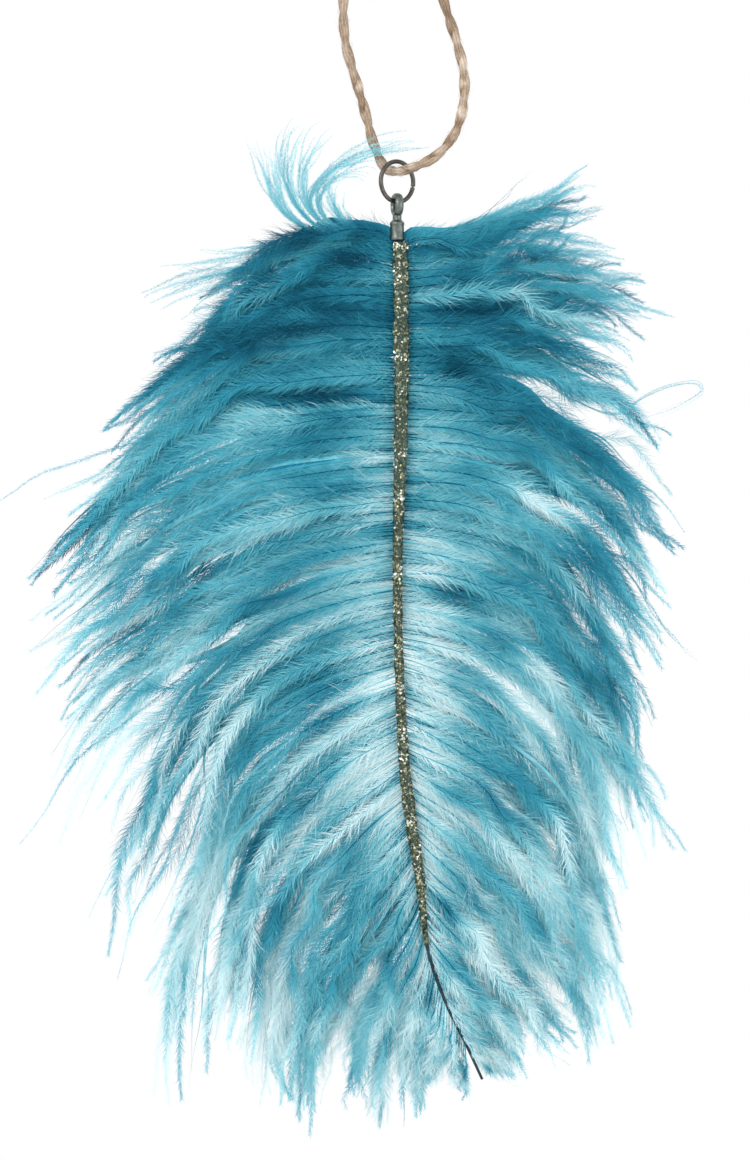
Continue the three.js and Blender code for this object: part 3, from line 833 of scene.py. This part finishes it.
def barbules(rng, path, length_at, gap, width):
    """Soft filaments on both sides of a ramus, each a ribbon that leans along it and bends back."""
    steps = np.linalg.norm(np.diff(path, axis=0), axis=1)
    run = np.concatenate([[0], np.cumsum(steps)])
    count = max(int(run[-1] / gap), 4)
    at = np.tile((np.arange(count) + rng.uniform(0, 1, count)) / count, 2) * run[-1]
    sign = np.repeat([-1.0, 1.0], count)
    root = np.stack([np.interp(at, run, path[:, k]) for k in range(3)], 1)
    slope = np.gradient(path, run, axis=0)
    tangent = unit(np.stack([np.interp(at, run, slope[:, k]) for k in range(3)], 1))
    across = unit(np.cross(tangent, (0, 1, 0)))
    normal = np.cross(across, tangent)
    share = at / run[-1]
    twist = rng.uniform(-0.3, 0.3) + rng.uniform(-0.8, 0.8) * share + rng.normal(0, 0.3, len(at))
    out = across * (np.cos(twist) * sign)[:, None] + normal * np.sin(twist)[:, None]
    length = (length_at(at, share) * rng.uniform(0.5, 1.2, len(at)))[:, None]
    lean = np.radians(rng.normal(*BARBULE_LEAN, len(at)))[:, None]
    bend = lean - np.radians(rng.normal(*BARBULE_BEND, len(at)))[:, None]
    first = tangent * np.cos(lean) + out * np.sin(lean)
    second = tangent * np.cos(bend) + out * np.sin(bend)
    middle = root + first * length * 0.5
    tip = middle + second * length * 0.5
    roll = rng.normal(0, 0.3, len(at))[:, None]
    face = unit(np.cross(first, out * np.sin(roll) + np.cross(out, tangent) * np.cos(roll)))
    half = face * width / 2
    return *blades(root, middle, tip, half), share


def add_barb(heap, rng, path, tone_at, length, gap, width=BARBULE_WIDTH, radius=RAMUS_RADIUS, stem=0.2,
             bare=5):
    """One barb: its ramus, darkest by the shaft, and its barbules, short along its bare first stretch."""
    along = np.linspace(0, 1, len(path))
    points, faces = ramus(path, radius * (1.05 - along) ** 1.5)
    darker = stem * (1 + 1.6 * (1 - smoothstep(0.05, 0.45, along)))
    heap.add(points, faces, np.repeat(tone_at(along) - darker, 3))

    def length_at(distance, share):
        grown = 0.25 + 0.75 * smoothstep(0, bare, distance)
        return length * grown * (1 - 0.75 * smoothstep(0.7, 1.0, share))

    points, faces, share = barbules(rng, path, length_at, gap, width)
    own = tone_at(share) + rng.normal(0, 0.045, len(share))
    heap.add(points, faces, (own[:, None] + np.array([-0.04, -0.04, 0.0, 0.0, 0.06])).ravel())


def down_ribbon(heap, rng, path, half_width, tone_at):
    """The matted fuzz at the heart of a lock: a cupped, streaky, ragged strip that tapers to a point."""
    columns = 7
    tangent = unit(np.gradient(path, axis=0))
    across = unit(np.cross(tangent, (0, 1, 0)))
    along = np.linspace(0, 1, len(path))
    place = np.linspace(-1, 1, columns)
    place[1:-1] += rng.normal(0, 0.07, columns - 2)
    swell = 1 + 0.25 * smooth_noise(rng, len(path), 4)
    wide = half_width * swell * smoothstep(0, 0.08, along + 0.04) * (1 - smoothstep(0.45, 1.0, along)) + 0.02
    ragged = np.stack([smooth_noise(rng, len(path), 3) for _ in range(columns)], 1) * 0.16
    aside = (place + ragged) * wide[:, None]
    behind = 0.35 * place**2 * wide[:, None] + rng.normal(0, 0.12, columns)
    points = path[:, None] + across[:, None] * aside[..., None] + np.array([0, 1, 0]) * behind[..., None]
    streaks = rng.normal(0, 0.09, columns) + ragged * 0.7
    faces = grid_faces(len(path), columns, closed=False)
    heap.add(points.reshape(-1, 3), faces, (tone_at(along)[:, None] + streaks).ravel())


def swayed(path, aside, behind):
    """A barb's path moved aside, across its own direction, and behind itself."""
    tangent = unit(np.gradient(path, axis=0))
    across = unit(np.cross(tangent, (0, 1, 0)))
    return path + across * aside[:, None] + np.array([0, 1, 0]) * behind[:, None]


def grouped(rng, low, high, smallest, largest):
    """Edges that cut low to high into groups of random width."""
    edges = [low]
    while edges[-1] < high:
        edges.append(edges[-1] + rng.uniform(smallest, largest))
    return np.array(edges)


def lock_guides(rng, side, edges):
    """A guide for each lock that barbs gather into: its own wandering curve, length and shade."""
    guides = []
    for low, high in zip(edges[:-1], edges[1:]):
        middle = min((low + high) / 2 + rng.normal(0, 0.14), LAST_ROW)
        cage = barb_cages(side, np.array([middle]))[0]
        size = barb_size(cage)
        loose = looseness(side, middle) * (0.5 + 0.5 * smoothstep(1.5, 5, middle))
        cage[1] += rng.normal(0, LOCK_STRAY[0], 3) * (1, 0, 1) * size
        cage[2] += rng.normal(0, LOCK_STRAY[1], 3) * (1, 0, 1) * size * loose
        cage[3] += rng.normal(0, LOCK_STRAY[2], 3) * (1, 0, 1) * size * loose
        guides.append({
            "row": middle,
            "cage": cage,
            "reach": rng.uniform(*np.interp(middle, (0, 5, LAST_ROW), (0.84, 0.92, 0.95)) + (0.0, 0.17)),
            "tone": rng.normal(0, LOCK_TONE),
            "depth": rng.normal(0, LOCK_DEPTH) * size,
            "splays": rng.normal(0, LOCK_SPLAY, 5) * size * loose,
            "wave": rng.normal(0, LOCK_WAVE) * size * loose,
            "ripple": rng.normal(0, LOCK_RIPPLE) * size * loose,
            "phase": rng.uniform(0, 2 * np.pi),
        })
    return guides


def looseness(side, row):
    """How loosely the barbs hang together: most of all at the top right, where they stand up in wisps."""
    return 1 + (0.9 if side == "right" else 0.35) * math.exp(-row / 1.3)


MOUTH_LIFT = 2.0
ARCH_LIFT = 1.3


def shoulder_lift(side, row, along):
    """The first barbs rise round the cap's mouth, and on the left they arch up before they fall away."""
    near = smoothstep(0, 0.05, along) * (1 - smoothstep(0.1, 0.4, along))
    mouth = MOUTH_LIFT * math.exp(-((row / 0.35) ** 2)) * near
    arch = ARCH_LIFT * math.exp(-((row / 0.6) ** 2)) * np.sin(np.pi * np.clip(along / 0.55, 0, 1)) ** 0.8
    return mouth + (arch if side == "left" else 0)


def wandering(guide, t):
    """How far a lock's curve strays sideways from its cage."""
    slow = guide["wave"] * np.sin(6 * t + guide["phase"]) * smoothstep(0, 0.35, t)
    return slow + guide["ripple"] * np.sin(14 * t + 2 * guide["phase"]) * smoothstep(0.1, 0.4, t)


class Shades:
    """How dark each side of the plume is, place by place: patches, then the barb, its bundle and its lock."""

    def __init__(self, rng, side):
        self.side = side
        self.patches = rng.normal(0, PATCH_DEPTH, (3 * LAST_ROW, 8))

    def patch(self, row, share):
        across = spline(self.patches, np.array([row * PATCHES_PER_ROW]))[0]
        return spline(across[:, None], np.clip(share, 0, 1) * PATCHES_ALONG)[:, 0]

    def along(self, row, path, offset, streak=None):
        """The tone at each share of the way along a barb, with its bundle's streak if it has one."""
        down = smoothstep(0, 0.55, row / LAST_ROW)
        paler = PALER_DOWN[self.side] * down
        base = BASE_TONE + paler + offset * (0.7 + 0.3 * down)
        # The darker spots are painted shade where locks overlap and by the cap; the paler spots lighten the
        # colour.
        spots = sum(
            depth * np.exp(-((path[:, 0] - x) ** 2 + (path[:, 2] - z) ** 2) / reach**2)
            for x, z, reach, depth in SHADE_SPOTS
        )
        places = np.linspace(0, 1, len(path))
        streak = np.zeros(8) if streak is None else streak * (0.5 + 0.5 * down)

        def tone_at(share):
            root = (PALER_ROOT[0] + PALER_ROOT[1] * down) * (1 - smoothstep(0.04, 0.2, share))
            tip = PALER_TIP * smoothstep(0.55, 1.0, share)
            own = spline(streak[:, None], np.clip(share, 0, 1) * PATCHES_ALONG)[:, 0]
            return base + root + tip + self.patch(row, share) + np.interp(share, places, spots) + own

        return tone_at


def barb_bundles(rng, side, edges):
    """A guide for each few barbs that run side by side: its curve, shades, depth and waves."""
    rows = np.clip((edges[:-1] + edges[1:]) / 2, 0, LAST_ROW)
    count = len(rows)
    parts = zip(
        barb_cages(side, rows), rng.normal(0, BUNDLE_TONE, count), rng.normal(0, STREAK_DEPTH, (count, 8)),
        rng.normal(0, BUNDLE_DEPTH, count), rng.normal(0, BUNDLE_WAVE, (count, 12)),
    )
    return [dict(zip(("cage", "tone", "streak", "depth", "waves"), own)) for own in parts]


def gathered(rng, side, row, cage, bundle, guide, t, loose_hanging, stray):
    """A barb's path, drawn in by its bundle and its lock, with waves and frizz of its own."""
    size = barb_size(cage)
    path = bezier(cage, t)
    path += (bezier(bundle["cage"], t) - path) * (0.8 * smoothstep(0, 0.1, t))[:, None]
    pull = LOOSE_PULL if loose_hanging else rng.uniform(*PULL)
    path += (bezier(guide["cage"], t) - path) * (pull * smoothstep(0.12, 0.85, t))[:, None]
    path[:, 2] += shoulder_lift(side, row, t)
    aside = (guide["splays"][rng.integers(5)] + rng.normal(0, 0.8) * size) * smoothstep(0.5, 1.1, t)
    aside *= 3.0 if stray else 1.0
    aside += wandering(guide, t)
    calm = min(1.0, 1.5 * size)
    waves = spline(bundle["waves"][:, None], t * WAVES_ALONG)[:, 0]
    aside += waves * smoothstep(0.04, 0.3, t) * calm
    frizz = spline(rng.normal(0, FRIZZ, FRIZZ_ALONG + 2)[:, None], t * FRIZZ_ALONG)[:, 0]
    aside += frizz * smoothstep(0.1, 0.6, t) * looseness(side, row) * calm
    behind = (guide["depth"] + rng.normal(0, 1.0) * size) * smoothstep(0, 0.5, t)
    behind += bundle["depth"] * smoothstep(0, 0.15, t)
    behind += (BACK_SETBACK if rng.random() < BACK_SHARE else 0.0) * smoothstep(0, 0.3, t) * calm
    return swayed(path, aside, behind)


def plume(side, material):
    """Every barb on one side, gathered into one piece for each CAD lock."""
    rng = np.random.default_rng(11 if side == "left" else 12)
    shades = Shades(rng, side)
    spacing = LAST_ROW / BARBS_PER_SIDE
    rows = (np.arange(BARBS_PER_SIDE) + 0.5 + rng.uniform(-0.35, 0.35, BARBS_PER_SIDE)) * spacing
    bundle_edges = grouped(rng, 0, LAST_ROW, *(spacing * n for n in BUNDLE_BARBS))
    bundles = barb_bundles(rng, side, bundle_edges)
    lock_edges = grouped(rng, 0, LAST_ROW, *LOCK_ROWS)
    guides = lock_guides(rng, side, lock_edges)
    along = np.linspace(0, 1, BARB_STEPS)
    heaps = [Heap() for _ in range(LOCKS_PER_SIDE)]
    for row, cage in zip(rows, barb_cages(side, rows)):
        down = row / LAST_ROW
        bundle = bundles[np.searchsorted(bundle_edges, row, side="right") - 1]
        number = np.searchsorted(lock_edges, row, side="right") - 1
        if rng.random() < STRAYING_SHARE:
            number += rng.choice([-1, 1])
        guide = guides[int(np.clip(number, 0, len(guides) - 1))]
        haze = rng.random() < HAZE_SHARE[0] + HAZE_SHARE[1] * smoothstep(0.1, 0.5, down)
        stray = rng.random() < STRAY_SHARE
        shortest = 0.76 + 0.14 * down
        t = along * guide["reach"] * (rng.uniform(1.0, 1.1) if stray else rng.uniform(shortest, 1.03))
        path = gathered(rng, side, row, cage, bundle, guide, t, haze or stray, stray)
        offset = guide["tone"] + bundle["tone"] + rng.normal(0, 0.04) + HAZE_PALER * haze
        shade = shades.along(row, path, offset, bundle["streak"])
        length = np.interp(down, (0, 1), BARBULE_LENGTH) * (0.35 + 0.65 * min(1.0, barb_size(cage) * 1.6))
        length *= 0.3 if stray else 1.1 if haze else 1.0
        gap = np.interp(down, (0, 1), BARBULE_GAP) * (1.3 if haze or stray else 1.0)
        bare = np.interp(down, (0, 0.06, 1), (2, *BARE_ROOT[side]))
        width = BARBULE_WIDTH * (0.75 if haze else 1.0)
        heap = heaps[min(int(down * LOCKS_PER_SIDE), LOCKS_PER_SIDE - 1)]
        add_barb(heap, rng, path, shade, length, gap, width, stem=0.12 if haze else 0.22, bare=bare)
    for guide in guides:
        matted(rng, side, guide, heaps, shades)
    for number, heap in enumerate(heaps, 1):
        for route, hairs, spread, fuzz, tone in STRAYS.get((side, number), []):
            tuft(heap, rng, route, hairs, spread, fuzz, tone)
        piece = heap.piece(f"barbs_{side}_{number:02d}", material, "feather", "barbs")
        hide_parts(f"barb_lock_{side}_{number:02d}")


def matted(rng, side, guide, heaps, shades):
    """The down at the heart of a lock: broad ribbons at the back and narrow ones among the barbs."""
    row = guide["row"]
    down = np.clip(row / LAST_ROW, 0, 0.999)
    size = barb_size(guide["cage"])
    heap = heaps[int(down * LOCKS_PER_SIDE)]
    for kind in RIBBONS:
        for _ in range(round(np.interp(down, (0, 0.5, 1), kind["count"]))):
            here = np.clip(row + rng.normal(0, 0.22), 0, LAST_ROW)
            t = np.linspace(0, 1, BARB_STEPS) * guide["reach"] * rng.uniform(*kind["reach"])
            path = bezier(barb_cages(side, np.array([here]))[0], t)
            path += (bezier(guide["cage"], t) - path) * (0.75 * smoothstep(0.1, 0.8, t))[:, None]
            path[:, 2] += shoulder_lift(side, here, t)
            aside = wandering(guide, t) + rng.normal(0, 1.4) * size * smoothstep(0.2, 0.9, t)
            waves = rng.normal(0, 0.6, 12)[:, None]
            aside += spline(waves, t * WAVES_ALONG)[:, 0] * smoothstep(0.04, 0.3, t) * min(1.0, 1.5 * size)
            depth = max(guide["depth"], -0.4)
            behind = (depth + kind["behind"] + rng.normal(0, 0.6)) * smoothstep(0, 0.3, t)
            path = swayed(path, aside, behind + RIBBON_SETBACK)
            offset = guide["tone"] + rng.normal(kind["tone"] + kind["paler"] * down, 0.1)
            shade = shades.along(here, path, offset)
            half_width = np.interp(down, (0, 1), kind["half_width"]) * min(size, 1.0)
            down_ribbon(heap, rng, path, half_width, shade)


def tuft(heap, rng, route, hairs, spread, fuzz, tone):
    """Fine hairs that set off together along a route and part towards their ends."""
    spine = smooth_path(route, 1.0)
    along = np.linspace(0, 1, len(spine))
    for _ in range(hairs):
        end = max(int(len(spine) * rng.uniform(0.82, 1.0)), 6)
        t = along[:end]
        splay = rng.normal(0, spread, 3) * (1, 0.6, 1)
        path = spine[:end] + splay * smoothstep(0.1, 1.0, t)[:, None]
        frizz = spline(rng.normal(0, 0.3, 12)[:, None], t * 10)[:, 0]
        path = swayed(path, frizz * smoothstep(0.1, 0.5, t), rng.normal(0, 0.3) * t)
        own = tone + rng.normal(0, 0.05)
        add_barb(heap, rng, path, lambda share: own + 0.15 * share, fuzz, 0.3, 0.07, 0.055, bare=6)


def wisp(name, material):
    """A loose lock that curls up beside the twine."""
    rng = np.random.default_rng(len(name))
    heap = Heap()
    for route, hairs in WISPS[name]:
        tuft(heap, rng, route, 2 * hairs + 1, spread=1.3, fuzz=1.2, tone=0.68)
    piece = heap.piece(f"wisp_{name}", material, "feather", "barbs")
    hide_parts(f"top_wisp_{name}")


make_stage()
materials = make_materials()
twine_loop(materials["twine"], twine_knot(materials["twine"]))
jump_ring(materials["metal"])
end_cap(materials["cap"])
bpy.data.objects["glue_plug"].material_slots[0].material = materials["glue"]
quill(materials["quill"])
glitter_strip(materials["glitter"])
for side in SIDES:
    plume(side, materials["barbs"])
for name in WISPS:
    wisp(name, materials["barbs"])
